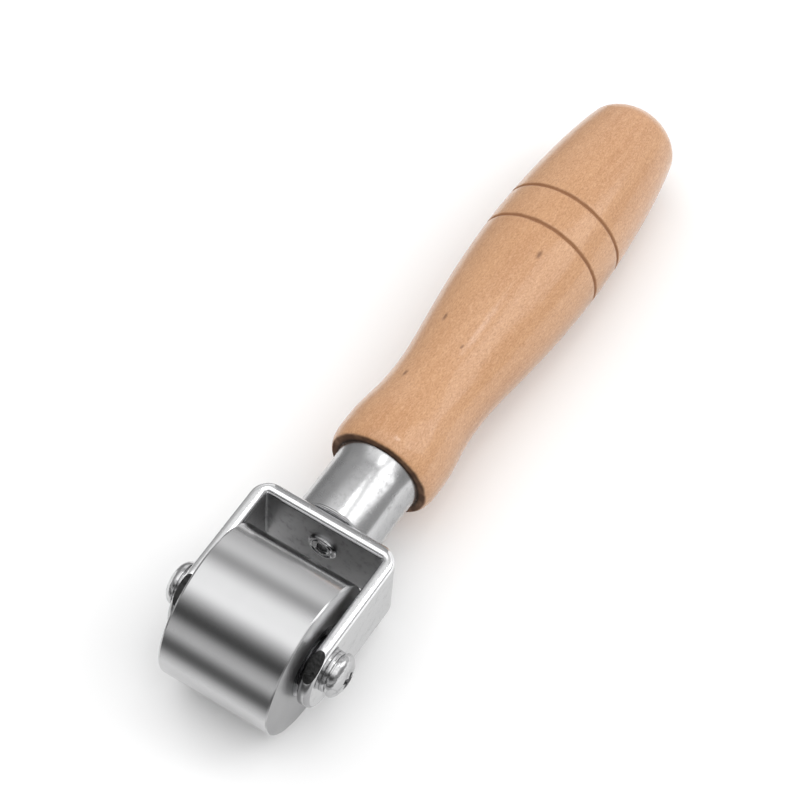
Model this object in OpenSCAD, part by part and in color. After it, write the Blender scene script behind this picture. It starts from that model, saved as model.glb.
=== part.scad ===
// Hand seam roller: a steel roller on two ball bearings, held in a U-shaped fork,
// with a round steel neck and a turned wooden handle.
//
// The tool is drawn about the roller's centre: +X runs along the tool to the handle's butt,
// +Y runs along the roller's spin axis to the left side, +Z is up. at_rest() then lays it on
// the ground, standing on the roller and the handle's belly.

/* [Roller] */
// Diameter of the rolling face
roller_d = 34.5; // [30:0.5:45]
// Width of the rolling face
roller_w = 26; // [22:0.5:40]
// Chamfer on the roller's two rims
roller_chamfer = 0.3; // [0.1:0.1:1]

/* [Bearings] */
// Bore of each ball bearing
bearing_bore_d = 8; // [8:1:8]
// Outside diameter of each ball bearing
bearing_d = 16; // [16:1:16]
// Width of each ball bearing
bearing_w = 5; // [5:0.5:6]
// Diameter of the bearing balls
ball_d = 2.4; // [2:0.1:2.4]
// Number of balls in each bearing
ball_count = 9; // [6:1:9]

/* [Fork] */
// Thickness of the fork's plate
plate_t = 3; // [2:0.1:3]
// Height of the fork's plate, and the diameter of the arms' round ends
plate_h = 17.6; // [16:0.2:20]
// Gap between the roller's end faces and the fork's arms
side_gap = 1; // [0.5:0.1:2]
// Distance from the roller's axis to the inner face of the fork's web
web_x = 23.2; // [22:0.1:30]
// Outer radius of the fork's two bends
bend_r = 4.5; // [3.5:0.1:6]
// Inner radius of the fork's two bends
bend_inner_r = 0.5; // [0.3:0.1:2.5]

/* [Axle and screws] */
// Outside diameter of the washers between the bearings and the arms
side_washer_d = 11.6; // [10.8:0.1:12.6]
// Nominal thread diameter of the two axle screws
axle_screw_d = 5; // [4:1:5]
// Length of the axle screws under the head
axle_screw_len = 12; // [10:1:13]
// Diameter of the axle screws' pan heads
pan_head_d = 9.8; // [8:0.1:10.4]
// Height of the axle screws' pan heads
pan_head_h = 3.1; // [2.5:0.1:4]
// Outside diameter of the washers under the heads
head_washer_d = 9.2; // [8.5:0.1:12]
// Thickness of the washers under the heads
head_washer_t = 1; // [0.5:0.1:1.5]

/* [Neck] */
// Diameter of the steel neck
neck_d = 18.9; // [16:0.1:20]
// Distance from the roller's axis to the handle's front face
handle_x = 44; // [40:0.5:60]
// Diameter of the neck's spigot, which sits in the handle
spigot_d = 17; // [14:0.1:17.5]
// Length of the neck's spigot
spigot_len = 5; // [3:0.5:8]
// Nominal thread diameter of the low-headed screw through the fork's web
neck_screw_d = 4; // [3:1:4]
// Diameter of the low-headed screw's head
neck_screw_head_d = 6.8; // [6.5:0.1:7.5]
// Height of the low-headed screw's head, which stands on the web's inner face
neck_screw_head_h = 0.8; // [0.6:0.1:2]
// Length of the low-headed screw under its head
neck_screw_len = 12; // [8:1:14]
// Diameter of the bolt that joins the neck and the handle
hanger_bolt_d = 6; // [5:1:8]

/* [Handle] */
// Length of the wooden handle
handle_len = 111.5; // [95:0.5:125]
// Diameter of the bulge behind the front edge
bulge_d = 24.8; // [22:0.1:28]
// Diameter at the waist
waist_d = 22; // [21:0.1:25]
// Diameter at the belly
belly_d = 28.7; // [26:0.1:32]
// Diameter where the domed butt begins
butt_d = 21.3; // [18:0.1:25]
// Depth of the two burnt grooves
groove_depth = 0.35; // [0.1:0.05:0.6]
// Width of the two burnt grooves
groove_w = 0.9; // [0.4:0.1:1.5]

/* [Hidden] */
$fn = 96;

left = 1;
right = -1;
overshoot = 1;                 // how far a cutting solid runs past the face it cuts
running_play = 0.04;           // radial clearance of the balls in their races

roller_r = roller_d / 2;
arm_inner_y = roller_w / 2 + side_gap;
arm_outer_y = arm_inner_y + plate_t;
web_outer_x = web_x + plate_t;

// Bearings: the balls run midway between the bore and the outside diameter.
pitch_r = (bearing_bore_d + bearing_d) / 4;
ball_r = ball_d / 2;
race_r = ball_r + running_play;
ring_shoulder_r = 0.7;         // from the pitch circle to each ring's shoulder
cage_half_t = 0.4;
cage_rail = 0.6;
pocket_r = ball_r + 0.1;       // half the width of the cage's pocket for each ball
shield_t = 0.25;
shield_seat_r = pitch_r + 0.95;
shield_inner_r = pitch_r - 0.5;
shield_inset = 0.15;           // from the bearing's face to its shield
bearing_y = roller_w / 2 - bearing_w / 2;
outer_ring_relief_r = bearing_d / 2 - 1;
spacer_wall = 1;

// Axle and screws
screw_hole_d = axle_screw_d + 0.3;
head_y = arm_outer_y + head_washer_t;
head_rim_h = 0.6;              // straight side of the pan head under its dome
dome_power = 0.9;              // below 1, the dome is fuller than an ellipse
cross_w = 1.2;
cross_len = 4.4;
cross_depth = 2;
axle_tap_depth = 11;
side_washer_bore = bearing_bore_d + 0.1;

// Neck
neck_chamfer = 0.4;
neck_len = handle_x - web_outer_x;
spigot_end_x = handle_x + spigot_len;
neck_tap_depth = neck_screw_len - plate_t + 1;
hanger_in_neck = 9;
hanger_in_handle = 34;
spigot_play = 0.2;
hex_socket_af = 2.5;
hex_socket_depth = 1.4;

// Handle: three Bezier stretches between horizontal tangents, then an elliptical dome.
front_edge_x = 4;              // length of the rounded front edge
front_edge_r = 1.3;            // its radial drop at the front face
bulge_x = handle_x + 6.5;
waist_x = handle_x + 23.5;
belly_x = handle_x + 68.5;
butt_dome = 6.5;
butt_x = handle_x + handle_len - butt_dome;
butt_slope = 0.23;             // radial fall per unit of length where the dome begins
groove_xs = [handle_x + 65, handle_x + 74.8];
curve_steps = 18;
edge_steps = 6;
dome_steps = 14;

function bezier(p, t) =
    pow(1 - t, 3) * p[0] + 3 * pow(1 - t, 2) * t * p[1]
    + 3 * (1 - t) * t * t * p[2] + pow(t, 3) * p[3];
function stretch(p) = [for (i = [1 : curve_steps]) bezier(p, i / curve_steps)];

front_edge = [
    for (i = [0 : edge_steps])
        let (a = 90 * i / edge_steps)
        [handle_x + front_edge_x * (1 - cos(a)), bulge_d / 2 - front_edge_r * (1 - sin(a))]
];
to_waist = stretch([
    [bulge_x, bulge_d / 2], [bulge_x + 5.8, bulge_d / 2],
    [waist_x - 9, waist_d / 2], [waist_x, waist_d / 2]
]);
to_belly = stretch([
    [waist_x, waist_d / 2], [waist_x + 10, waist_d / 2],
    [belly_x - 23, belly_d / 2], [belly_x, belly_d / 2]
]);
to_butt = stretch([
    [belly_x, belly_d / 2], [belly_x + 6, belly_d / 2],
    [butt_x - 12.6, butt_d / 2 + 12.6 * butt_slope], [butt_x, butt_d / 2]
]);
dome = [
    for (i = [1 : dome_steps])
        let (a = 90 * i / dome_steps, along = butt_dome * sin(a))
        [butt_x + along, (butt_d / 2 - butt_slope * along) * cos(a)]
];
handle_outline = concat(front_edge, [[bulge_x, bulge_d / 2]], to_waist, to_belly, to_butt, dome);

// The tool leans until the handle's belly meets the ground plane that the roller stands on.
lean = min([for (p = handle_outline) asin(roller_r / norm(p)) - atan2(p[1], p[0])]);
tip_x = handle_x + handle_len;
centre_x = (tip_x * cos(lean) - roller_r) / 2;

module at_rest() translate([-centre_x, 0, roller_r]) rotate([0, lean, 0]) children();
module along_x() rotate([0, 90, 0]) children();
module along_y() rotate([-90, 0, 0]) children();

// Lays a shape drawn on +Z along one side's outward direction, starting at distance y.
module on_side(side, y) translate([0, side * y, 0]) rotate([-90 * side, 0, 0]) children();

module disc_with_bore(d, bore, t) difference() {
    cylinder(d = d, h = t);
    translate([0, 0, -overshoot]) cylinder(d = bore, h = t + 2 * overshoot);
}

// Circular groove for the balls, centred in a bearing
module ball_groove() rotate_extrude() translate([pitch_r, 0]) circle(r = race_r, $fn = 48);

module roller_body() color("silver") at_rest() along_y() difference() {
    rotate_extrude() polygon([
        [0, -roller_w / 2], [roller_r - roller_chamfer, -roller_w / 2],
        [roller_r, -roller_w / 2 + roller_chamfer], [roller_r, roller_w / 2 - roller_chamfer],
        [roller_r - roller_chamfer, roller_w / 2], [0, roller_w / 2]
    ]);
    translate([0, 0, -roller_w / 2 - overshoot])
        cylinder(r = outer_ring_relief_r, h = roller_w + 2 * overshoot);
    for (side = [left, right])
        translate([0, 0, side * (roller_w / 2 - bearing_w / 2 + overshoot / 2)])
            cylinder(d = bearing_d, h = bearing_w + overshoot, center = true);
}

module bearing_at(side) at_rest() translate([0, side * bearing_y, 0]) along_y() children();

module bearing_outer_ring(side) color("lightsteelblue") bearing_at(side) difference() {
    cylinder(d = bearing_d, h = bearing_w, center = true);
    cylinder(r = pitch_r + ring_shoulder_r, h = bearing_w + 2 * overshoot, center = true);
    ball_groove();
    for (face = [left, right])
        translate([0, 0, face * (bearing_w / 2 - shield_inset - shield_t + overshoot)])
            cylinder(r = shield_seat_r, h = 2 * overshoot, center = true);
}

module bearing_inner_ring(side) color("lightsteelblue") bearing_at(side) difference() {
    cylinder(r = pitch_r - ring_shoulder_r, h = bearing_w, center = true);
    cylinder(d = bearing_bore_d, h = bearing_w + 2 * overshoot, center = true);
    ball_groove();
}

module bearing_balls(side) color("white") bearing_at(side)
    for (i = [0 : ball_count - 1])
        rotate([0, 0, 360 * i / ball_count]) translate([pitch_r, 0, 0]) sphere(r = ball_r, $fn = 32);

// Crown cage: a rail behind the balls, with fingers between them
module bearing_cage(side) color("goldenrod") bearing_at(side) difference() {
    translate([0, 0, -pocket_r - cage_rail]) difference() {
        cylinder(r = pitch_r + cage_half_t, h = cage_rail + 2 * pocket_r);
        translate([0, 0, -overshoot])
            cylinder(r = pitch_r - cage_half_t, h = cage_rail + 2 * (pocket_r + overshoot));
    }
    for (i = [0 : ball_count - 1])
        rotate([0, 0, 360 * i / ball_count])
            translate([pitch_r - 2 * cage_half_t, -pocket_r, -pocket_r])
                cube([4 * cage_half_t, 2 * pocket_r, 2 * pocket_r + overshoot]);
}

module bearing_shields(side) color("gainsboro") bearing_at(side)
    for (face = [left, right])
        translate([0, 0, face * (bearing_w / 2 - shield_inset - shield_t / 2) - shield_t / 2])
            disc_with_bore(2 * shield_seat_r, 2 * shield_inner_r, shield_t);

module bearing_spacer() color("slategray") at_rest()
    translate([0, -roller_w / 2 + bearing_w, 0]) along_y()
        disc_with_bore(bearing_bore_d + 2 * spacer_wall, bearing_bore_d, roller_w - 2 * bearing_w);

module axle() color("dimgray") at_rest() difference() {
    translate([0, -arm_inner_y, 0]) along_y() cylinder(d = bearing_bore_d, h = 2 * arm_inner_y);
    for (side = [left, right])
        on_side(side, arm_inner_y - axle_tap_depth)
            cylinder(d = axle_screw_d, h = axle_tap_depth + overshoot);
}

module side_washer(side) color("darkgray") at_rest()
    on_side(side, roller_w / 2) disc_with_bore(side_washer_d, side_washer_bore, side_gap);

module rounded_u_outline() difference() {
    union() {
        translate([-plate_h / 2, -arm_outer_y])
            square([plate_h / 2 + web_outer_x - bend_r, 2 * arm_outer_y]);
        translate([web_outer_x - bend_r - overshoot, -arm_outer_y + bend_r])
            square([bend_r + overshoot, 2 * (arm_outer_y - bend_r)]);
        for (side = [left, right])
            translate([web_outer_x - bend_r, side * (arm_outer_y - bend_r)]) circle(r = bend_r);
    }
    translate([-plate_h, -arm_inner_y])
        square([plate_h + web_x - bend_inner_r, 2 * arm_inner_y]);
    translate([0, -arm_inner_y + bend_inner_r])
        square([web_x, 2 * (arm_inner_y - bend_inner_r)]);
    for (side = [left, right])
        translate([web_x - bend_inner_r, side * (arm_inner_y - bend_inner_r)])
            circle(r = bend_inner_r);
}

module fork() color("lightgray") at_rest() difference() {
    intersection() {
        translate([0, 0, -plate_h / 2]) linear_extrude(plate_h) rounded_u_outline();
        translate([0, -arm_outer_y - overshoot, 0]) along_y() union() {
            cylinder(d = plate_h, h = 2 * (arm_outer_y + overshoot));
            translate([0, -plate_h, 0])
                cube([web_outer_x + overshoot, 2 * plate_h, 2 * (arm_outer_y + overshoot)]);
        }
    }
    for (side = [left, right])
        on_side(side, arm_inner_y - overshoot)
            cylinder(d = screw_hole_d, h = plate_t + 2 * overshoot);
    translate([web_x - overshoot, 0, 0]) along_x()
        cylinder(d = neck_screw_d, h = plate_t + 2 * overshoot);
}

module axle_washer(side) color("darkgray") at_rest()
    on_side(side, arm_outer_y) disc_with_bore(head_washer_d, screw_hole_d, head_washer_t);

// A full dome over a short straight rim
module pan_head() rotate_extrude() polygon(concat(
    [[0, 0], [pan_head_d / 2, 0]],
    [
        for (i = [0 : dome_steps])
            let (a = 90 * i / dome_steps)
            [
                pan_head_d / 2 * pow(cos(a), dome_power),
                head_rim_h + (pan_head_h - head_rim_h) * pow(sin(a), dome_power)
            ]
    ]
));

module axle_screw(side) color("whitesmoke") at_rest() on_side(side, head_y) union() {
    translate([0, 0, -axle_screw_len]) cylinder(d = axle_screw_d, h = axle_screw_len + overshoot);
    difference() {
        pan_head();
        for (a = [45, 135])
            rotate([0, 0, a]) translate([-cross_len / 2, -cross_w / 2, pan_head_h - cross_depth])
                cube([cross_len, cross_w, cross_depth + overshoot]);
    }
}

module neck_screw() color("gray") at_rest() difference() {
    translate([web_x - neck_screw_head_h, 0, 0]) along_x() rotate_extrude() polygon([
        [0, 0], [neck_screw_head_d / 2 - neck_chamfer, 0], [neck_screw_head_d / 2, neck_chamfer],
        [neck_screw_head_d / 2, neck_screw_head_h], [neck_screw_d / 2, neck_screw_head_h],
        [neck_screw_d / 2, neck_screw_head_h + neck_screw_len],
        [0, neck_screw_head_h + neck_screw_len]
    ]);
    translate([web_x - neck_screw_head_h - overshoot, 0, 0]) along_x()
        cylinder(d = hex_socket_af / cos(30), h = hex_socket_depth + overshoot, $fn = 6);
}

module neck() color("gainsboro") at_rest() difference() {
    translate([web_outer_x, 0, 0]) along_x() rotate_extrude() polygon([
        [0, 0], [neck_d / 2 - neck_chamfer, 0], [neck_d / 2, neck_chamfer],
        [neck_d / 2, neck_len - neck_chamfer], [neck_d / 2 - neck_chamfer, neck_len],
        [spigot_d / 2, neck_len], [spigot_d / 2, neck_len + spigot_len],
        [0, neck_len + spigot_len]
    ]);
    translate([web_outer_x - overshoot, 0, 0]) along_x()
        cylinder(d = neck_screw_d, h = neck_tap_depth + overshoot);
    translate([spigot_end_x - hanger_in_neck, 0, 0]) along_x()
        cylinder(d = hanger_bolt_d, h = hanger_in_neck + overshoot);
}

module hanger_bolt() color("slategray") at_rest()
    translate([spigot_end_x - hanger_in_neck, 0, 0]) along_x()
        cylinder(d = hanger_bolt_d, h = hanger_in_neck + hanger_in_handle);

module handle() color("burlywood") at_rest() along_x() difference() {
    // The outline is drawn as [along, radius] and turned round to [radius, along].
    rotate_extrude() polygon([
        for (p = concat([[handle_x, 0]], handle_outline)) [p[1], p[0]]
    ]);
    translate([0, 0, handle_x - overshoot])
        cylinder(d = spigot_d + spigot_play, h = spigot_len + overshoot);
    translate([0, 0, handle_x])
        cylinder(d = hanger_bolt_d, h = spigot_len + hanger_in_handle);
    for (x = groove_xs) translate([0, 0, x]) rotate_extrude() groove_section();
}

// V-shaped section of a groove, wide enough to start outside the belly
module groove_section() polygon([
    [belly_d / 2 - groove_depth, 0],
    [belly_d / 2 + groove_depth, -groove_w],
    [belly_d / 2 + groove_depth, groove_w]
]);

roller_body();
bearing_outer_ring(left);  // left_bearing_outer_ring
bearing_inner_ring(left);  // left_bearing_inner_ring
bearing_balls(left);  // left_bearing_balls
bearing_cage(left);  // left_bearing_cage
bearing_shields(left);  // left_bearing_shields
bearing_outer_ring(right);  // right_bearing_outer_ring
bearing_inner_ring(right);  // right_bearing_inner_ring
bearing_balls(right);  // right_bearing_balls
bearing_cage(right);  // right_bearing_cage
bearing_shields(right);  // right_bearing_shields
bearing_spacer();
axle();
side_washer(left);  // left_side_washer
side_washer(right);  // right_side_washer
fork();
axle_washer(left);  // left_axle_washer
axle_washer(right);  // right_axle_washer
axle_screw(left);  // left_axle_screw
axle_screw(right);  // right_axle_screw
neck_screw();
neck();
hanger_bolt();
handle();
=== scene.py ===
"""Looks of the hand seam roller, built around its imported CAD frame.

Every new piece is drawn in millimetres in the tool's own frame: its origin is the roller's centre,
+X runs along the tool to the handle's butt and +Y along the roller's spin axis. TOOL then lays it
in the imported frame. The materials read the tool's frame through object coordinates, in metres.
"""
import math

import bmesh
import bpy
from mathutils import Matrix, Vector


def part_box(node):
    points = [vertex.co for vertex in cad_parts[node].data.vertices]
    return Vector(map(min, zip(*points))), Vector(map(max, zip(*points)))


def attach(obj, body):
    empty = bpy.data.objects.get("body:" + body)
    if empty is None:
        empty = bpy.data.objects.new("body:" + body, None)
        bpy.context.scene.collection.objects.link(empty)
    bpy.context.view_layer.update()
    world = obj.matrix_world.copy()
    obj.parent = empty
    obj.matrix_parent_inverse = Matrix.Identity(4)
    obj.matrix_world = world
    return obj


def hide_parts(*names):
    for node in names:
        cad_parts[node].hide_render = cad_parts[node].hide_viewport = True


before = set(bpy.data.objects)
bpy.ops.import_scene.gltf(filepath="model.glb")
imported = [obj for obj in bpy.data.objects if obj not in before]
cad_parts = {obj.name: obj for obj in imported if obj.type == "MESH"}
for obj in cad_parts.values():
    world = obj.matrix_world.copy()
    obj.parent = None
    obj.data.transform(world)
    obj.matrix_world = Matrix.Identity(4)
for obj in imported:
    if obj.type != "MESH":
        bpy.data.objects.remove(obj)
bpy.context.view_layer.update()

MM = 0.001


# ---------------------------------------------------------------- places and sizes

def middle(node):
    low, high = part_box(node)
    return (low + high) / 2


def extent(node):
    low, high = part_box(node)
    return (high - low) / MM


CENTRE = middle("roller_body")
BOLT = middle("hanger_bolt")
LEAN = math.atan2(CENTRE.z - BOLT.z, BOLT.x - CENTRE.x)
TOOL = Matrix.Translation(CENTRE) @ Matrix.Rotation(LEAN, 4, "Y")

# Sizes in mm, from the frame where its boxes show them. WEB_IN, WEB_OUT and names that end in _X
# are places along the tool, from the roller's centre. FLAT is an arm's ground corner, with the
# angle from +X up to the way it faces. HANGER is the hanger bolt.
ROLLER_R = extent("roller_body").z / 2
ROLLER_HALF = extent("roller_body").y / 2
ARM_OUT = extent("fork").y / 2
PLATE_T = 3.0
ARM_IN = ARM_OUT - PLATE_T
PLATE_H = 17.6
WEB_IN = 23.2
WEB_OUT = WEB_IN + PLATE_T
BEND_OUT = 4.5
BEND_IN = 0.5
FLAT_TOWARDS = math.radians(123)
FLAT_DEPTH = 0.8
NECK_R = extent("neck").y / 2
SPIGOT_R = 8.5
SPIGOT_LEN = 5.0
HANDLE_X = 44.0
HANDLE_LEN = 111.5
HANGER_R = 3.0
HANGER_IN_NECK = 9.0
HANGER_IN_HANDLE = 34.0
WEB_SCREW_R = 2.0
WASHER_R = extent("left_axle_washer").z / 2
WASHER_T = extent("left_axle_washer").y
HEAD_R = extent("left_axle_screw").z / 2
HEAD_H = 3.1
SCREW_BORE_R = 2.65
SIDE_WASHER_R = extent("left_side_washer").z / 2
SIDE_BORE_R = 4.05


# ---------------------------------------------------------------- camera

VIEW_AZIMUTH = -61.17
VIEW_ELEVATION = 58.28
VIEW_ROLL = 4.17
VIEW_DISTANCE = 0.6462
VIEW_AIM = Vector((-0.0080, 0.0055, CENTRE.z))
VIEW_LENS = 138.4


def new_object(name, data):
    obj = bpy.data.objects.new(name, data)
    bpy.context.scene.collection.objects.link(obj)
    return obj


def make_camera():
    a, e = math.radians(VIEW_AZIMUTH), math.radians(VIEW_ELEVATION)
    back = Vector((math.sin(a) * math.cos(e), -math.cos(a) * math.cos(e), math.sin(e)))
    right = Vector((0, 0, 1)).cross(back).normalized()
    level = Matrix((right, back.cross(right), back)).transposed()
    turned = level @ Matrix.Rotation(math.radians(VIEW_ROLL), 3, "Z")
    data = bpy.data.cameras.new("camera")
    data.lens = VIEW_LENS
    data.sensor_width = 36
    data.clip_start = 0.01
    data.clip_end = 20
    camera = new_object("camera", data)
    camera.matrix_world = Matrix.Translation(VIEW_AIM + VIEW_DISTANCE * back) @ turned.to_4x4()
    bpy.context.scene.camera = camera


# ---------------------------------------------------------------- shader helpers

RAMP_SHARE = 0.5        # a ramp gives this share of its levels, to keep them below 1


class Nodes:
    """A short way to write a node tree: most methods add a node and return its output."""

    def __init__(self, tree):
        self.tree = tree
        tree.nodes.clear()

    def add(self, kind, **settings):
        node = self.tree.nodes.new(kind)
        for key, value in settings.items():
            setattr(node, key, value)
        return node

    def put(self, socket, value):
        """Links another node's socket to this one, or sets a constant. None leaves it alone."""
        if isinstance(value, bpy.types.NodeSocket):
            self.tree.links.new(value, socket)
        elif value is not None:
            socket.default_value = value

    def math(self, operation, a, b=None, c=None):
        node = self.add("ShaderNodeMath", operation=operation)
        for socket, value in zip(node.inputs, (a, b, c)):
            self.put(socket, value)
        return node.outputs[0]

    def vector(self, operation, a, b=None):
        node = self.add("ShaderNodeVectorMath", operation=operation)
        self.put(node.inputs[0], a)
        self.put(node.inputs[1], b)
        return node.outputs["Value" if operation == "LENGTH" else "Vector"]

    def here(self):
        """The point being shaded, in the tool's frame, in metres."""
        node = self.add("ShaderNodeMapping", vector_type="TEXTURE")
        self.put(node.inputs["Vector"], self.add("ShaderNodeTexCoord").outputs["Object"])
        node.inputs["Location"].default_value = CENTRE
        node.inputs["Rotation"].default_value = (0, LEAN, 0)
        return node.outputs[0]

    def xyz(self, vector):
        node = self.add("ShaderNodeSeparateXYZ")
        self.put(node.inputs[0], vector)
        return node.outputs

    def noise(self, vector, scale, detail, roughness=0.5):
        node = self.add("ShaderNodeTexNoise")
        self.put(node.inputs["Vector"], vector)
        node.inputs["Scale"].default_value = scale
        node.inputs["Detail"].default_value = detail
        node.inputs["Roughness"].default_value = roughness
        return node.outputs["Fac"]

    def grain_noise(self, here, along, scale, detail, roughness=0.5):
        """Noise drawn out along the tool, where it changes only at the given share of its rate."""
        drawn = self.vector("MULTIPLY", here, (along, 1.0, 1.0))
        return self.noise(drawn, scale, detail, roughness)

    def line_noise(self, value, scale, detail):
        """Noise along one number, for turned or ground lines."""
        node = self.add("ShaderNodeTexNoise", noise_dimensions="1D")
        self.put(node.inputs["W"], value)
        node.inputs["Scale"].default_value = scale
        node.inputs["Detail"].default_value = detail
        return node.outputs["Fac"]

    def remap(self, value, low, high, to_low, to_high):
        """A smooth step, from to_low where value is low to to_high where it is high."""
        node = self.add("ShaderNodeMapRange", interpolation_type="SMOOTHSTEP")
        for socket, number in zip(node.inputs, (value, low, high, to_low, to_high)):
            self.put(socket, number)
        return node.outputs[0]

    def mix(self, factor, a, b):
        """Colour a where factor is 0 and b where it is 1. Either may be a plain colour."""
        node = self.add("ShaderNodeMix", data_type="RGBA")
        self.put(node.inputs["Factor"], factor)
        for socket, colour in zip(node.inputs[6:8], (a, b)):
            self.put(socket, (*colour, 1) if isinstance(colour, tuple) else colour)
        return node.outputs[2]

    def bump(self, height, distance, strength=1.0, normal=None):
        node = self.add("ShaderNodeBump")
        node.inputs["Strength"].default_value = strength
        node.inputs["Distance"].default_value = distance
        self.put(node.inputs["Height"], height)
        self.put(node.inputs["Normal"], normal)
        return node.outputs[0]

    def ramp(self, value, stops):
        """A smooth grey ramp from (place, level) pairs, at RAMP_SHARE of the levels."""
        node = self.add("ShaderNodeValToRGB")
        self.put(node.inputs[0], value)
        node.color_ramp.interpolation = "B_SPLINE"
        marks = node.color_ramp.elements
        while len(marks) > 1:
            marks.remove(marks[-1])
        for i, (place, level) in enumerate(stops):
            mark = marks[0] if i == 0 else marks.new(place)
            mark.position = place
            grey = level * RAMP_SHARE
            mark.color = (grey, grey, grey, 1)
        return node.outputs[0]

    def show(self, shader, output="ShaderNodeOutputMaterial"):
        """Ends the tree with a shader node."""
        self.put(self.add(output).inputs["Surface"], shader.outputs[0])

    def glow(self, kind, colour):
        """An emission or background node that gives back a ramp's full levels."""
        node = self.add(kind)
        self.put(node.inputs["Color"], colour)
        node.inputs["Strength"].default_value = 1 / RAMP_SHARE
        return node

    def surface(self, **inputs):
        shader = self.add("ShaderNodeBsdfPrincipled")
        for key, value in inputs.items():
            self.put(shader.inputs[key.replace("_", " ")], value)
        self.show(shader)


def material(name):
    mat = bpy.data.materials.new(name)
    mat.use_nodes = True
    return mat, Nodes(mat.node_tree)


# ---------------------------------------------------------------- metals

# Painted shade: the darker colour that the fork's edges take round the arms' ends
ARM_TIPS = (0.46, 0.46, 0.465)
# Dark and light colour, roughness, height (in metres) and scale of the waves, strength of the
# scratches, and for the fork's edges the darker colour, a painted shade, to which they fade
# round the arms' ends
METALS = {
    "polished_plate": ((0.62, 0.62, 0.625), (0.70, 0.70, 0.705), 0.14, 0.00002, 240, 0.3),
    # Painted highlight: the fork's rounded edges are coloured brighter than its faces
    "painted_highlight_edge": ((0.84, 0.84, 0.85), (0.94, 0.94, 0.95), 0.19, 0.00002, 500, 0.3, ARM_TIPS),
    # Painted dark reflection: the arms' ground corners are coloured near black
    "ground_corner_dark_reflection": ((0.012, 0.012, 0.012), (0.07, 0.07, 0.07), 0.45, 0.0001, 1500, 1.0),
    # Painted shade: the fork's inner faces are coloured darker than its outer faces; they are also
    # duller
    "inner_plate_painted_shade": ((0.28, 0.28, 0.285), (0.37, 0.37, 0.375), 0.36, 0.00002, 700, 0.3),
    "polished_neck": ((0.45, 0.45, 0.455), (0.57, 0.57, 0.575), 0.20, 0.00002, 420, 0.3),
    "plated_screw": ((0.38, 0.38, 0.385), (0.60, 0.60, 0.605), 0.17, 0.00006, 1100, 0.6),
    "socket_screw": ((0.34, 0.34, 0.345), (0.50, 0.50, 0.505), 0.15, 0.00002, 900, 0.3),
    # Near black, for the spacing washers between the roller and the arms
    "near_black_steel": ((0.012, 0.012, 0.012), (0.04, 0.04, 0.041), 0.45, 0.00003, 900, 0.3),
    # Darker steel for the hidden CAD pieces, and painted shade in the axle screws' cross recesses
    "plain_steel": ((0.20, 0.20, 0.205), (0.33, 0.33, 0.335), 0.28, 0.00003, 700, 0.3),
    "cage_brass": ((0.50, 0.34, 0.13), (0.62, 0.45, 0.19), 0.3, 0.00002, 900, 0.3),
}


def polished_metal(name, dark, light, rough, wave, wave_scale, scratch, tips=None):
    """Hand-polished bright metal: a slight waviness, faint scuffs and a broken-up gloss."""
    mat, n = material(name)
    here = n.here()
    swell = n.noise(here, wave_scale, 1)
    grit = n.noise(n.vector("MULTIPLY", here, (1.0, 1.0, 3.0)), 2600, 4, 0.7)
    scuffs = n.remap(n.noise(here, 500, 5, 0.7), 0.48, 0.72, 0.0, 1.0)
    rolled = n.bump(swell, wave)
    colour = n.mix(scuffs, light, dark)
    # Painted shade: the edges darken round the arms' ends
    if tips:
        colour = n.mix(n.remap(n.xyz(here)[0], -0.0075, -0.003, 1.0, 0.0), colour, tips)
    n.surface(
        Base_Color=colour,
        Metallic=1.0,
        Roughness=n.remap(scuffs, 0.0, 1.0, rough, rough + 0.12),
        Normal=n.bump(grit, 0.000004, scratch, rolled),
    )
    return mat


def ground_steel():
    """The rolling face: ground round the roller, so its fine lines run round the spin axis."""
    mat, n = material("ground_steel")
    at = n.xyz(n.here())
    wander = n.noise(n.here(), 60, 1)
    along = n.math("ADD", at[1], n.math("MULTIPLY", wander, 0.0002))
    lines = n.line_noise(along, 9000, 3)
    blotch = n.noise(n.here(), 140, 3)
    n.surface(
        Base_Color=n.mix(blotch, (0.53, 0.53, 0.535), (0.57, 0.57, 0.575)),
        Metallic=1.0,
        Roughness=n.remap(lines, 0.3, 0.7, 0.17, 0.22),
        Normal=n.bump(lines, 0.000001, 0.12),
    )
    return mat


def turned_face(name, dark, light, rough):
    """A flat face turned on a lathe, with fine circles round the spin axis."""
    mat, n = material(name)
    radius = n.vector("LENGTH", n.vector("MULTIPLY", n.here(), (1.0, 0.0, 1.0)))
    circles = n.line_noise(radius, 7000, 3)
    blotch = n.noise(n.here(), 220, 3)
    n.surface(
        Base_Color=n.mix(blotch, dark, light),
        Metallic=1.0,
        Roughness=n.remap(circles, 0.3, 0.7, rough, rough + 0.1),
        Normal=n.bump(circles, 0.000003, 0.6),
    )
    return mat


# ---------------------------------------------------------------- wood

GROOVES = (HANDLE_X + 65, HANDLE_X + 74.8)
GROOVE_W = 0.9
GROOVE_DEPTH = 0.35
# Small dark pin knots: place along the tool, angle round it, length and width, all in mm or degrees
KNOTS = (
    (102.0, 102.5, 2.4, 1.0),
    (79.2, 58.5, 2.2, 1.0),
    (74.0, 95.5, 1.3, 0.7),
    (62.8, 58.5, 1.8, 0.9),
    (92.0, -40.0, 1.6, 0.6),
    (131.0, -118.0, 1.4, 0.6),
)


def knot_mask(n, here, along, angle, length, width):
    radius = handle_radius(along)
    a = math.radians(angle)
    centre = Vector((along, radius * math.cos(a), radius * math.sin(a))) * MM
    offset = n.vector("SUBTRACT", here, tuple(centre))
    scaled = n.vector("MULTIPLY", offset, (1 / length, 1 / width, 1 / width))
    wobble = n.math("MULTIPLY", n.noise(here, 900, 3), 0.0006)
    distance = n.math("ADD", n.vector("LENGTH", scaled), wobble)
    return n.remap(distance, 0.0004, 0.0010, 1.0, 0.0)


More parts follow.
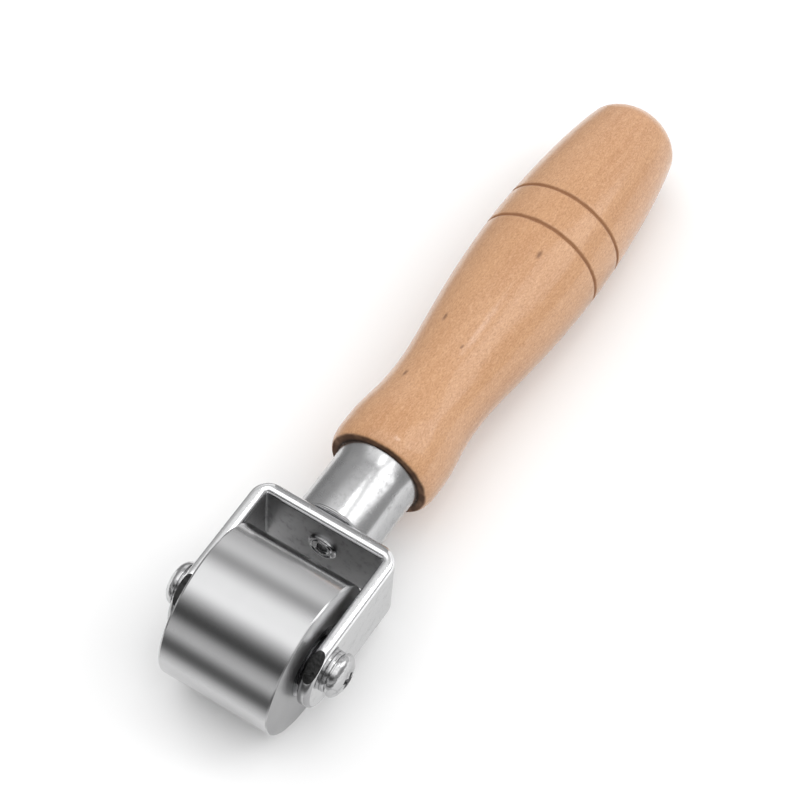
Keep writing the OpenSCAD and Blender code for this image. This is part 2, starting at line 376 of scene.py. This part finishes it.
def lacquered_wood():
    """Light, close-grained hardwood under gloss lacquer, with burnt grooves, a dark front ring
    and painted shade round the socket.
    """
    mat, n = material("lacquered_wood")
    here = n.here()
    at = n.xyz(here)
    radius = n.vector("LENGTH", n.vector("MULTIPLY", here, (0.0, 1.0, 1.0)))

    # Growth rings of a blank sawn beside the heart, so that they show as long slanting bands.
    bend = n.grain_noise(here, 0.18, 70, 2)
    layer = n.math("ADD", n.math("MULTIPLY", at[1], 0.8), n.math("MULTIPLY", at[2], 0.6))
    layer = n.math("ADD", layer, n.math("MULTIPLY", bend, 0.012))
    layer = n.math("ADD", layer, n.math("MULTIPLY", at[0], 0.05))
    rings = n.line_noise(layer, 420, 2)
    cloud = n.grain_noise(here, 0.5, 55, 2)
    fibre = n.grain_noise(here, 0.05, 3200, 4, 0.65)
    fleck = n.grain_noise(here, 0.35, 1500, 3, 0.6)
    sand = n.grain_noise(here, 0.5, 3400, 3, 0.75)
    pores = n.remap(n.grain_noise(here, 0.09, 2300, 2), 0.66, 0.78, 0, 1)

    colour = n.mix(n.remap(rings, 0.3, 0.7, 0, 1), (0.54, 0.287, 0.140), (0.48, 0.240, 0.110))
    colour = n.mix(n.remap(cloud, 0.35, 0.7, 0, 0.55), colour, (0.57, 0.315, 0.163))
    colour = n.mix(n.remap(fibre, 0.35, 0.75, 0, 0.35), colour, (0.42, 0.215, 0.10))
    colour = n.mix(n.remap(fleck, 0.45, 0.75, 0, 0.35), colour, (0.67, 0.395, 0.235))
    colour = n.mix(n.remap(sand, 0.50, 0.70, 0, 0.6), colour, (0.33, 0.15, 0.065))
    colour = n.mix(n.remap(sand, 0.50, 0.32, 0, 0.42), colour, (0.72, 0.44, 0.26))
    colour = n.mix(n.math("MULTIPLY", pores, 0.4), colour, (0.33, 0.16, 0.075))
    for knot in KNOTS:
        mask = knot_mask(n, here, *knot)
        colour = n.mix(n.math("MULTIPLY", mask, 0.75), colour, (0.17, 0.07, 0.03))

    # The two grooves are burnt and the front ring is dark brown, with uneven borders.
    uneven = n.math("MULTIPLY", n.noise(here, 400, 2), 0.0004)
    grooves_and_front = 0.0
    for x in GROOVES:
        off = n.math("ABSOLUTE", n.math("SUBTRACT", at[0], x * MM))
        burn = n.remap(n.math("ADD", off, uneven), 0.0004, 0.0010, 1.0, 0.0)
        colour = n.mix(n.math("MULTIPLY", burn, 0.8), colour, (0.22, 0.094, 0.042))
        grooves_and_front = n.math("MAXIMUM", grooves_and_front, burn)
    face = HANDLE_X * MM
    front = n.remap(n.math("ADD", at[0], uneven), face + 0.00015, face + 0.0006, 1.0, 0.0)
    colour = n.mix(n.math("MULTIPLY", front, 0.95), colour, (0.060, 0.026, 0.013))
    grooves_and_front = n.math("MAXIMUM", grooves_and_front, front)
    # Painted shade: round the socket the front face is near black, for the gap by the neck
    socket = n.remap(radius, 0.0094, 0.0106, 1.0, 0.0)
    colour = n.mix(n.math("MULTIPLY", socket, front), colour, (0.010, 0.007, 0.005))

    swell = n.noise(here, 260, 2)
    n.surface(
        Base_Color=colour,
        Roughness=n.math("MULTIPLY_ADD", grooves_and_front, 0.35, n.remap(fibre, 0.3, 0.7, 0.42, 0.55)),
        Normal=n.bump(swell, 0.00008, 0.5, n.bump(sand, 0.00003, 0.7)),
        Coat_Normal=n.bump(swell, 0.00008, 0.5, n.bump(sand, 0.000016, 0.7)),
        Coat_Weight=n.math("MULTIPLY_ADD", grooves_and_front, -0.8, 0.8),
        Coat_Roughness=0.12,
        Coat_IOR=1.5,
        Specular_IOR_Level=0.35,
    )
    return mat


# ---------------------------------------------------------------- mesh helpers

def arc(centre, radius, start, end, steps):
    """Points of an arc in a plane; angles in degrees."""
    out = []
    for i in range(steps + 1):
        a = math.radians(start + (end - start) * i / steps)
        out.append((centre[0] + radius * math.cos(a), centre[1] + radius * math.sin(a)))
    return out


def rounded(points, steps):
    """An outline with its corners rounded: each point is (u, v) or (u, v, corner radius)."""
    out = []
    for i, point in enumerate(points):
        here = Vector(point[:2])
        size = point[2] if len(point) > 2 else 0
        if not size:
            out.append(tuple(here))
            continue
        before = (Vector(points[i - 1][:2]) - here).normalized()
        after = (Vector(points[(i + 1) % len(points)][:2]) - here).normalized()
        half = before.angle(after) / 2
        reach = size / math.tan(half)
        centre = here + (before + after).normalized() * size / math.sin(half)
        first, last = here + before * reach - centre, here + after * reach - centre
        turn = first.angle_signed(last)
        for k in range(steps + 1):
            spun = Matrix.Rotation(-turn * k / steps, 2) @ first
            out.append(tuple(centre + spun))
    return out


def as_mesh(bm, name, where=None):
    if where is not None:
        bmesh.ops.transform(bm, matrix=where, verts=bm.verts)
    mesh = bpy.data.meshes.new(name)
    bm.to_mesh(mesh)
    bm.free()
    return mesh


def revolved(outline, segments, closed=False):
    """A bmesh turned round X from (along, radius) points; closed joins the last to the first."""
    bm = bmesh.new()
    rows = []
    for along, radius in outline:
        if radius < 1e-6:
            rows.append([bm.verts.new((along * MM, 0, 0))])
            continue
        row = []
        for i in range(segments):
            a = 2 * math.pi * i / segments
            row.append(bm.verts.new((along * MM, radius * MM * math.cos(a), radius * MM * math.sin(a))))
        rows.append(row)
    pairs = list(zip(rows, rows[1:]))
    if closed:
        pairs.append((rows[-1], rows[0]))
    for a, b in pairs:
        for i in range(segments):
            j = (i + 1) % segments
            corner = [a[i % len(a)], a[j % len(a)], b[j % len(b)], b[i % len(b)]]
            corner = list(dict.fromkeys(corner))
            if len(corner) > 2:
                bm.faces.new(corner)
    bmesh.ops.recalc_face_normals(bm, faces=bm.faces)
    return bm


def block(base, top, where=None):
    """A closed mesh between two rings of (x, y, z) points in mm, with as many points in each."""
    bm = bmesh.new()
    low = [bm.verts.new((x * MM, y * MM, z * MM)) for x, y, z in base]
    high = [bm.verts.new((x * MM, y * MM, z * MM)) for x, y, z in top]
    bm.faces.new(low[::-1])
    bm.faces.new(high)
    for i in range(len(low)):
        j = (i + 1) % len(low)
        bm.faces.new((low[i], low[j], high[j], high[i]))
    bmesh.ops.recalc_face_normals(bm, faces=bm.faces)
    return as_mesh(bm, "block", where)


def prism(outline, low, high, where=None):
    """A straight prism over an outline in XY, from z low to high, in mm."""
    return block([(u, v, low) for u, v in outline], [(u, v, high) for u, v in outline], where)


def applied(obj):
    """The object's mesh with its modifiers applied, as a new mesh. The object goes."""
    now = bpy.context.evaluated_depsgraph_get()
    result = bpy.data.meshes.new_from_object(obj.evaluated_get(now))
    bpy.data.objects.remove(obj)
    return result


def cut(mesh, tool_mesh, operation="DIFFERENCE"):
    """The exact boolean of two meshes, as a new mesh."""
    body = new_object("body", mesh)
    tool = new_object("tool", tool_mesh)
    step = body.modifiers.new("cut", "BOOLEAN")
    step.object = tool
    step.operation = operation
    step.solver = "EXACT"
    result = applied(body)
    bpy.data.objects.remove(tool)
    return result


def bevelled(mesh, width, segments, share):
    """Bevels the sharp edges by width, in mm, times what share(edge) gives."""
    bm = bmesh.new()
    bm.from_mesh(mesh)
    bmesh.ops.dissolve_limit(
        bm, angle_limit=math.radians(0.6), verts=bm.verts, edges=bm.edges, delimit={"SHARP"}
    )
    weights = bm.edges.layers.float.new("bevel_weight_edge")
    for edge in bm.edges:
        if len(edge.link_faces) == 2 and edge.calc_face_angle(0) > math.radians(30):
            edge[weights] = share(edge)
    bm.to_mesh(mesh)
    bm.free()
    obj = new_object("bevelled", mesh)
    step = obj.modifiers.new("bevel", "BEVEL")
    step.limit_method = "WEIGHT"
    step.width = width * MM
    step.segments = segments
    step.use_clamp_overlap = False
    return applied(obj)


ABOUT_Y = Matrix.Rotation(math.pi / 2, 4, "Z")       # turns a shape drawn about X to stand about Y
SIDES = {"left": 1, "right": -1}


def to_side(side, y):
    """From a shape drawn along +X to one that stands on +Y or -Y, starting y mm out."""
    turn = Matrix.Rotation(SIDES[side] * math.pi / 2, 4, "Z")
    return Matrix.Translation((0, SIDES[side] * y * MM, 0)) @ turn


def piece(name, mesh, mats, body, node, sharp=35):
    """Makes the shown piece that stands for a CAD node. Edges above sharp degrees stay crisp."""
    mesh.transform(TOOL)
    mesh.validate()
    mesh.shade_smooth()
    mesh.set_sharp_from_angle(angle=math.radians(sharp))
    obj = new_object(name, mesh)
    for mat in mats:
        obj.data.materials.append(mat)
    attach(obj, body)
    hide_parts(node)
    return obj


# ---------------------------------------------------------------- roller and fork

def make_roller(face, end):
    """The roller: a ground face, crisp rims with a tiny bright chamfer, and turned ends."""
    rim_along, rim_in, soft = 0.4, 0.22, 0.08
    pocket_r, relief_r, pocket = 8.0, 7.0, 5.0
    ground_r = ROLLER_R - 0.19      # the face's steel reaches this far down the chamfers
    w, r = ROLLER_HALF, ROLLER_R
    outline = rounded([
        (-w, pocket_r, 0.1), (-w, r - rim_in, soft), (-w + rim_along, r, soft),
        (w - rim_along, r, soft), (w, r - rim_in, soft), (w, pocket_r, 0.1),
        (w - pocket, pocket_r), (w - pocket, relief_r),
        (-w + pocket, relief_r), (-w + pocket, pocket_r),
    ], 3)
    mesh = as_mesh(revolved(outline, 256, closed=True), "roller", ABOUT_Y)
    obj = piece("roller", mesh, (end, face), "roller", "roller_body")
    for poly in obj.data.polygons:
        off = (poly.center - CENTRE) / MM
        if math.hypot(off.x, off.z) > ground_r:
            poly.material_index = 1
    return obj


def u_outline():
    """Outline of the bent plate in XY, anticlockwise from the right arm's tip."""
    tip = -PLATE_H / 2
    steps = 24
    outer = [(tip, -ARM_OUT)]
    outer += arc((WEB_OUT - BEND_OUT, -ARM_OUT + BEND_OUT), BEND_OUT, -90, 0, steps)
    outer += arc((WEB_OUT - BEND_OUT, ARM_OUT - BEND_OUT), BEND_OUT, 0, 90, steps)
    outer += [(tip, ARM_OUT)]
    inner = [(tip, ARM_IN)]
    inner += arc((WEB_IN - BEND_IN, ARM_IN - BEND_IN), BEND_IN, 90, 0, steps // 2)
    inner += arc((WEB_IN - BEND_IN, -ARM_IN + BEND_IN), BEND_IN, 0, -90, steps // 2)
    inner += [(tip, -ARM_IN)]
    return outer + inner


FORK_METALS = ("polished_plate", "painted_highlight_edge", "ground_corner_dark_reflection", "inner_plate_painted_shade")


def make_fork(metal):
    """The fork: a bent plate with round arm ends, nearly full-round above and crisper below.

    Each arm's end has a corner ground flat and left dull, above the screw, and coloured near black
    as a painted dark reflection. The inner faces are duller, and their darker colour is painted shade.
    """
    half = PLATE_H / 2
    past = ARM_OUT + 2
    edge_round = 1.28
    lie = Matrix.Rotation(math.pi / 2, 4, "X")
    side = arc((0, 0), half, 90, 270, 72) + [(WEB_OUT + 5, -half), (WEB_OUT + 5, half)]
    hole = arc((0, 0), SCREW_BORE_R, 0, 360 - 7.5, 47)
    mesh = prism(u_outline(), -half - 2, half + 2)
    mesh = cut(mesh, prism(side, -past, past, lie), "INTERSECT")
    mesh = cut(mesh, prism(hole, -past, past, lie))
    start, end = WEB_IN - 1, WEB_OUT + 1
    bore = [(start, 0), (start, WEB_SCREW_R), (end, WEB_SCREW_R), (end, 0)]
    mesh = cut(mesh, as_mesh(revolved(bore, 64), "bore"))

    def share(edge):
        """Little of the rounding at the holes, and less and less of it down the lower half."""
        a, b = (v.co / MM for v in edge.verts)
        mid = (a + b) / 2
        at_arm_hole = math.hypot(mid.x, mid.z) < 4
        at_web_hole = mid.x > WEB_IN - 1 and math.hypot(mid.y, mid.z) < 5
        if at_arm_hole or at_web_hole:
            return 0.2
        low = min(1.0, max(0.0, -mid.z / half))
        return 1.0 - 0.7 * low

    mesh = bevelled(mesh, edge_round, 9, share)
    near, far = half - FLAT_DEPTH, half + 6
    corner = Vector((math.cos(FLAT_TOWARDS), 0, math.sin(FLAT_TOWARDS)))
    waste = prism([(near, -6), (far, -6), (far, 6), (near, 6)], -20, 20, lie)
    waste.transform(Matrix.Rotation(-FLAT_TOWARDS, 4, "Y"))
    mesh = cut(mesh, waste)
    for name in FORK_METALS:
        mesh.materials.append(metal[name])
    for poly in mesh.polygons:
        x, y = poly.center.x / MM, abs(poly.center.y) / MM
        faced = poly.normal.dot(corner) > 0.9995
        on_arm = x < WEB_OUT - BEND_OUT
        across = abs(poly.normal.y) if on_arm else math.hypot(poly.normal.x, poly.normal.y)
        # Painted dark reflection: the ground corner takes the near-black metal
        if faced and abs(poly.center.dot(corner) / MM - near) < 0.01:
            kind = "ground_corner_dark_reflection"
        # Painted highlight: the rounded edges take the brighter metal
        elif across < 0.97:
            kind = "painted_highlight_edge"
        # Painted shade: the inner faces take the darker metal
        elif x < WEB_IN + 0.3 and y < ARM_IN + 0.3:
            kind = "inner_plate_painted_shade"
        else:
            kind = "polished_plate"
        poly.material_index = FORK_METALS.index(kind)
    return piece("fork_plate", mesh, (), "frame", "fork")


# ---------------------------------------------------------------- neck and handle

def make_neck(mat):
    """The neck: a polished bar, softened at the fork and slightly flared at the handle."""
    body_r = NECK_R - 0.1
    flare_x, flare_len, flare_out = HANDLE_X - 4, 3.9, 0.35
    end = HANDLE_X + SPIGOT_LEN
    bolt_end = end - HANGER_IN_NECK
    shoulder = [(WEB_OUT, WEB_SCREW_R), (WEB_OUT, body_r, 0.45), (flare_x, body_r)]
    outline = rounded(shoulder, 5)[:-1]
    for i in range(13):
        t = i / 12
        outline.append((flare_x + flare_len * t, body_r + flare_out * t * t))
    outline += rounded([
        (HANDLE_X, SPIGOT_R), (end, SPIGOT_R, 0.4), (end, HANGER_R),
        (bolt_end, HANGER_R), (bolt_end, WEB_SCREW_R),
    ], 5)
    mesh = as_mesh(revolved(outline, 192, closed=True), "neck")
    return piece("neck_bar", mesh, (mat,), "frame", "neck")


def bezier(points, t):
    s = 1 - t
    weights = (s ** 3, 3 * s * s * t, 3 * s * t * t, t ** 3)
    return sum((Vector(point) * weight for point, weight in zip(points, weights)), Vector((0, 0)))


BULGE_R, WAIST_R, BELLY_R, BUTT_R = 12.4, 11.0, extent("handle").y / 2, 10.65
BULGE_X, WAIST_X, BELLY_X = HANDLE_X + 6.5, HANDLE_X + 23.5, HANDLE_X + 68.5
BUTT_DOME, BUTT_SLOPE, BUTT_REACH = 6.5, 0.23, 12.6
BUTT_X = HANDLE_X + HANDLE_LEN - BUTT_DOME
FRONT_LEN, FRONT_DROP = 4.0, 1.3
# The outside from the bulge to the butt's dome, in three cubic curves of (along, radius)
STRETCHES = (
    ((BULGE_X, BULGE_R), (BULGE_X + 5.8, BULGE_R), (WAIST_X - 9, WAIST_R), (WAIST_X, WAIST_R)),
    ((WAIST_X, WAIST_R), (WAIST_X + 10, WAIST_R), (BELLY_X - 23, BELLY_R), (BELLY_X, BELLY_R)),
    (
        (BELLY_X, BELLY_R), (BELLY_X + 6, BELLY_R),
        (BUTT_X - BUTT_REACH, BUTT_R + BUTT_REACH * BUTT_SLOPE), (BUTT_X, BUTT_R),
    ),
)
# Half of a groove's section: distance from its middle, and depth there, as shares of the full
# width and depth
GROOVE_SHAPE = ((0.1, 0.95), (0.32, 0.45), (0.5, 0.06), (0.75, 0))


def handle_curve():
    """The handle's outside from the rounded front edge to the tip, as (along, radius)."""
    steps = 40
    out = []
    for i in range(13):
        a = math.radians(90 * i / 12)
        along = HANDLE_X + FRONT_LEN * (1 - math.cos(a))
        out.append((along, BULGE_R - FRONT_DROP * (1 - math.sin(a))))
    for points in STRETCHES:
        first = 0 if points is STRETCHES[0] else 1
        out += [tuple(bezier(points, i / steps)) for i in range(first, steps + 1)]
    for i in range(1, 33):
        a = math.radians(90 * i / 32)
        along = BUTT_DOME * math.sin(a)
        out.append((BUTT_X + along, (BUTT_R - BUTT_SLOPE * along) * math.cos(a)))
    out[-1] = (BUTT_X + BUTT_DOME, 0.0)
    return out


def handle_radius(along):
    curve = handle_curve()
    for (x0, r0), (x1, r1) in zip(curve, curve[1:]):
        if x0 <= along <= x1:
            return r0 + (r1 - r0) * (along - x0) / (x1 - x0)
    return 0.0


def make_handle(mat):
    """The turned handle, with its two V grooves and the socket for the neck's spigot."""
    outside = []
    for along, radius in handle_curve():
        if all(abs(along - x) > GROOVE_W for x in GROOVES):
            outside.append((along, radius))
    for x in GROOVES:
        for share, deep in GROOVE_SHAPE:
            for along in (x - share * GROOVE_W, x + share * GROOVE_W):
                outside.append((along, handle_radius(along) - deep * GROOVE_DEPTH))
    outside.sort()
    socket_r = SPIGOT_R + 0.1
    socket_end = HANDLE_X + SPIGOT_LEN
    bolt_end = socket_end + HANGER_IN_HANDLE
    inside = [
        (bolt_end, 0.0), (bolt_end, HANGER_R), (socket_end, HANGER_R),
        (socket_end, socket_r), (HANDLE_X, socket_r),
    ]
    mesh = as_mesh(revolved(inside + outside, 192), "handle")
    return piece("handle_wood", mesh, (mat,), "frame", "handle", 50)


# ---------------------------------------------------------------- screws and washers

def make_washer(name, radius, bore, thick, mat, side, y, node):
    """A flat ring round the axle, starting y mm out from the middle of the tool."""
    outline = rounded([(0, bore), (0, radius, 0.18), (thick, radius, 0.18), (thick, bore, 0.1)], 3)
    mesh = as_mesh(revolved(outline, 96, closed=True), name, to_side(side, y))
    return piece(name, mesh, (mat,), "frame", node)


def recess_bar(turn):
    """One tapered bar of a cross recess, turned round X by so many degrees."""
    wing, slim, depth = 2.25, 0.62, 2.1
    mouth = (HEAD_H + 1.0, wing + 0.25, slim + 0.12)
    floor = (HEAD_H - depth, wing * 0.45, slim * 0.75)
    a = math.radians(turn)
    rings = []
    for x, long, wide in (mouth, floor):
        ring = []
        for u, v in ((long, wide), (-long, wide), (-long, -wide), (long, -wide)):
            y, z = u * math.cos(a) - v * math.sin(a), u * math.sin(a) + v * math.cos(a)
            ring.append((x, y, z))
        rings.append(ring)
    return block(*rings)


def make_axle_screw(side, mat, recess_shade_mat):
    """A pan head with a small undercut and a cross recess, on its shank."""
    rim_h, length, shank_r, fullness = 0.6, 12.0, 2.5, 0.9
    under_h, under_r = 0.42, HEAD_R - 0.8
    outline = [(-length, 0), (-length, shank_r - 0.4), (-length + 0.4, shank_r), (0, shank_r)]
    outline += [(0, under_r), (under_h, under_r)]
    edge = [(under_h, under_r), (under_h, HEAD_R, 0.12), (rim_h + 1, HEAD_R)]
    outline += rounded(edge, 4)[1:-1]
    for i in range(29):
        a = math.radians(3 + 87 * i / 28)
        along = rim_h + (HEAD_H - rim_h) * math.sin(a) ** fullness
        outline.append((along, HEAD_R * math.cos(a) ** fullness))
    outline[-1] = (HEAD_H, 0.0)
    mesh = as_mesh(revolved(outline, 96), "screw")
    mesh.materials.append(mat)
    mesh.materials.append(recess_shade_mat)
    for turn in (45, 135):
        recess = recess_bar(turn)
        recess.materials.append(mat)
        recess.materials.append(recess_shade_mat)
        # Painted shade: the recess's faces take the darker steel
        for poly in recess.polygons:
            poly.material_index = 1
        mesh = cut(mesh, recess)
    mesh.transform(to_side(side, ARM_OUT + WASHER_T))
    node = side + "_axle_screw"
    return piece(side + "_pan_screw", mesh, (), "frame", node, 30)


def make_neck_screw(mat):
    """The low-headed screw on the web: a bevelled rim, a ring groove and a hex socket."""
    head_r, head_h, length = 3.4, 0.8, 12.0
    flats, socket_depth = 2.5, 1.4
    front = WEB_IN - head_h
    low = front + 0.28
    end = WEB_IN + length
    outline = [(low, 0), (low, 1.45)]
    outline += rounded([
        (low, 1.45), (front, 1.75, 0.06), (front, 2.15, 0.06), (low, 2.4, 0.06), (low, 2.6, 0.06),
        (front, 2.8, 0.06), (front, head_r - 0.3, 0.08), (front + 0.3, head_r, 0.08),
        (WEB_IN, head_r),
    ], 4)[1:]
    outline += [(WEB_IN, WEB_SCREW_R), (end, WEB_SCREW_R), (end, 0)]
    mesh = as_mesh(revolved(outline, 96), "neck_screw")
    hexagon = arc((0, 0), flats / 2 / math.cos(math.pi / 6), 0, 300, 5)
    stand = Matrix.Translation((front * MM, 0, 0)) @ Matrix.Rotation(math.pi / 2, 4, "Y")
    mesh = cut(mesh, prism(hexagon, -1, socket_depth, stand))
    return piece("web_screw", mesh, (mat,), "frame", "neck_screw", 30)


# ---------------------------------------------------------------- all the pieces

def make_pieces(metal):
    turned = turned_face("turned_end", (0.42, 0.42, 0.425), (0.49, 0.49, 0.495), 0.28)
    make_roller(ground_steel(), turned)
    make_fork(metal)
    make_neck(metal["polished_neck"])
    make_handle(lacquered_wood())
    for side in SIDES:
        make_washer(
            side + "_spacing_washer", SIDE_WASHER_R, SIDE_BORE_R, ARM_IN - ROLLER_HALF,
            metal["near_black_steel"], side, ROLLER_HALF, side + "_side_washer",
        )
        make_washer(
            side + "_head_washer", WASHER_R, SCREW_BORE_R, WASHER_T,
            metal["plated_screw"], side, ARM_OUT, side + "_axle_washer",
        )
        make_axle_screw(side, metal["plated_screw"], metal["plain_steel"])
    make_neck_screw(metal["socket_screw"])


def dress_cad_nodes(metal):
    """Inner pieces keep their CAD shape and take a turned or drawn finish."""
    race = turned_face("bearing_race", (0.58, 0.58, 0.60), (0.66, 0.66, 0.68), 0.2)
    shown = {name: node for name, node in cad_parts.items() if not node.hide_render}
    for name, node in shown.items():
        if name.endswith("cage"):
            mat = metal["cage_brass"]
        elif "bearing" in name:
            mat = race
        else:
            mat = metal["plain_steel"]
        node.data.materials.clear()
        node.data.materials.append(mat)


# ---------------------------------------------------------------- studio

def make_floor():
    mat, n = material("floor")
    n.surface(Base_Color=(0.90, 0.90, 0.90, 1), Roughness=0.9, Specular_IOR_Level=0.1)
    bpy.ops.mesh.primitive_plane_add(size=12, location=(0, 0, 0))
    floor = bpy.context.object
    floor.name = "floor"
    floor.data.materials.append(mat)


# The studio's brightness by height angle from +X over the top to -X, in degrees
SKY = (
    (0, 0.62), (20, 0.90), (34, 1.06), (43, 0.70), (51, 0.46),
    (58, 0.48), (70, 1.10), (80, 1.45), (96, 1.4), (105, 1.55),
    (112, 1.45), (118, 1.05), (126, 0.60), (134, 0.22), (142, 0.07),
    (150, 0.04), (156, 0.14), (163, 0.52), (172, 0.74), (180, 0.72),
)
SIDE_SKY = 0.40         # its brightness on both sides, towards +Y and -Y


def make_sky():
    world = bpy.data.worlds.new("studio")
    bpy.context.scene.world = world
    world.use_nodes = True
    n = Nodes(world.node_tree)
    at = n.xyz(n.add("ShaderNodeTexCoord").outputs["Generated"])
    share = n.math("DIVIDE", n.math("ARCTAN2", at[2], at[0]), math.pi)
    sky = n.ramp(share, [(degrees / 180, level) for degrees, level in SKY])
    side = n.remap(n.math("ABSOLUTE", at[1]), 0.45, 0.92, 0.0, 1.0)
    colour = n.mix(side, sky, (SIDE_SKY * RAMP_SHARE,) * 3)
    n.show(n.glow("ShaderNodeBackground", colour), "ShaderNodeOutputWorld")


# Name, direction from the tool, distance, width and height in metres, power in watts, and
# whether reflections show it
LIGHTS = (
    ("neck_light", (0.48, -0.54, 0.69), 0.9, 0.42, 0.62, 1.2, True),
    ("key_light", (0.27, -0.08, 0.96), 0.9, 0.16, 0.13, 0.31, True),
    ("top_fill", (0.0, 0.0, 1.0), 1.4, 1.2, 1.2, 2.0, False),
    ("front_fill", (-1, 0, 0.8), 1.2, 1.0, 0.8, 2.4, False),
    ("right_fill", (0.2, -1, 0.8), 1.2, 1.0, 0.8, 2.4, False),
    ("left_fill", (0.2, 1, 0.8), 1.2, 1.0, 0.8, 2.4, False),
)


def make_softbox(name, towards, distance, width, height, power, shine):
    """A rectangular soft light, aimed at the tool; without shine, reflections don't show it."""
    data = bpy.data.lights.new(name, "AREA")
    data.shape = "RECTANGLE"
    data.size, data.size_y = width, height
    data.energy = power
    light = new_object(name, data)
    back = Vector(towards).normalized()
    light.location = back * distance
    light.rotation_mode = "QUATERNION"
    light.rotation_quaternion = back.to_track_quat("Z", "Y")
    light.visible_glossy = shine


def make_card(name, corners, start, towards, stops):
    """A glowing grey card that only reflections see. Every four corners make a flat face.

    All is in mm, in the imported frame. The brightness follows the distance from start, added up
    over the axes as towards says.
    """
    mat, n = material(name)
    here = n.add("ShaderNodeTexCoord").outputs["Object"]
    offset = n.vector("SUBTRACT", here, tuple(Vector(start) * MM))
    part = n.xyz(n.vector("MULTIPLY", offset, towards))
    distance = n.math("ADD", n.math("ADD", part[0], part[1]), part[2])
    reach = stops[-1][0]
    share = n.math("DIVIDE", distance, reach * MM)
    level = n.ramp(share, [(place / reach, level) for place, level in stops])
    n.show(n.glow("ShaderNodeEmission", level))
    mesh = bpy.data.meshes.new(name)
    faces = [tuple(range(i, i + 4)) for i in range(0, len(corners), 4)]
    mesh.from_pydata([Vector(c) * MM for c in corners], [], faces)
    mesh.materials.append(mat)
    card = new_object(name, mesh)
    card.visible_camera = False
    card.visible_diffuse = False
    card.visible_shadow = False


def make_cards():
    """Grey cards that shade the reflections in the roller, the neck and the fork."""
    x, z = CENTRE.x / MM, CENTRE.z / MM
    wide, low, top = 150, 0.5, 26.5
    front, foot = x - 42, x - 29
    wall = [(front, -wide, low), (front, wide, low), (front, wide, top), (front, -wide, top)]
    apron = [(front, -wide, low), (foot, -wide, low), (foot, wide, low), (front, wide, low)]
    make_card(
        "front_card", wall + apron, (foot, 0, low), (-1, 0, 1),
        (
            (0, 1.0), (6, 0.82), (13, 0.58), (18.5, 0.28),
            (23, 0.12), (29.5, 0.12), (34, 0.32), (39.5, 0.74),
        ),
    )
    make_card(
        "left_card", [(x + 10, 45, 0), (130, 45, 0), (130, 45, 27), (x + 10, 45, 27)],
        (0, 45, 0), (0, 0, 1), ((0, 0.75), (4, 0.5), (12, 0.28), (27, 0.34)),
    )
    make_card(
        "right_card", [(x - 40, -15, 0.3), (x - 40, -110, 0.3), (60, -110, 0.3), (60, -15, 0.3)],
        (0, -15, 0), (0, -1, 0), ((0, 0.66), (10, 0.79), (40, 0.97), (95, 1.15)),
    )
    x, low, top = x + 27, z + 8, z + 12.2
    make_card(
        "web_card", [(x, -14, low), (x, 14, low), (x, 14, top), (x, -14, top)],
        (0, 0, low), (0, 0, 1), ((0, 0.22), (4.2, 0.36)),
    )


# ---------------------------------------------------------------- the scene

make_camera()
metal = {name: polished_metal(name, *recipe) for name, recipe in METALS.items()}
make_pieces(metal)
dress_cad_nodes(metal)
make_floor()
make_sky()
make_cards()
for light in LIGHTS:
    make_softbox(*light)
bpy.context.scene.view_settings.view_transform = "Standard"
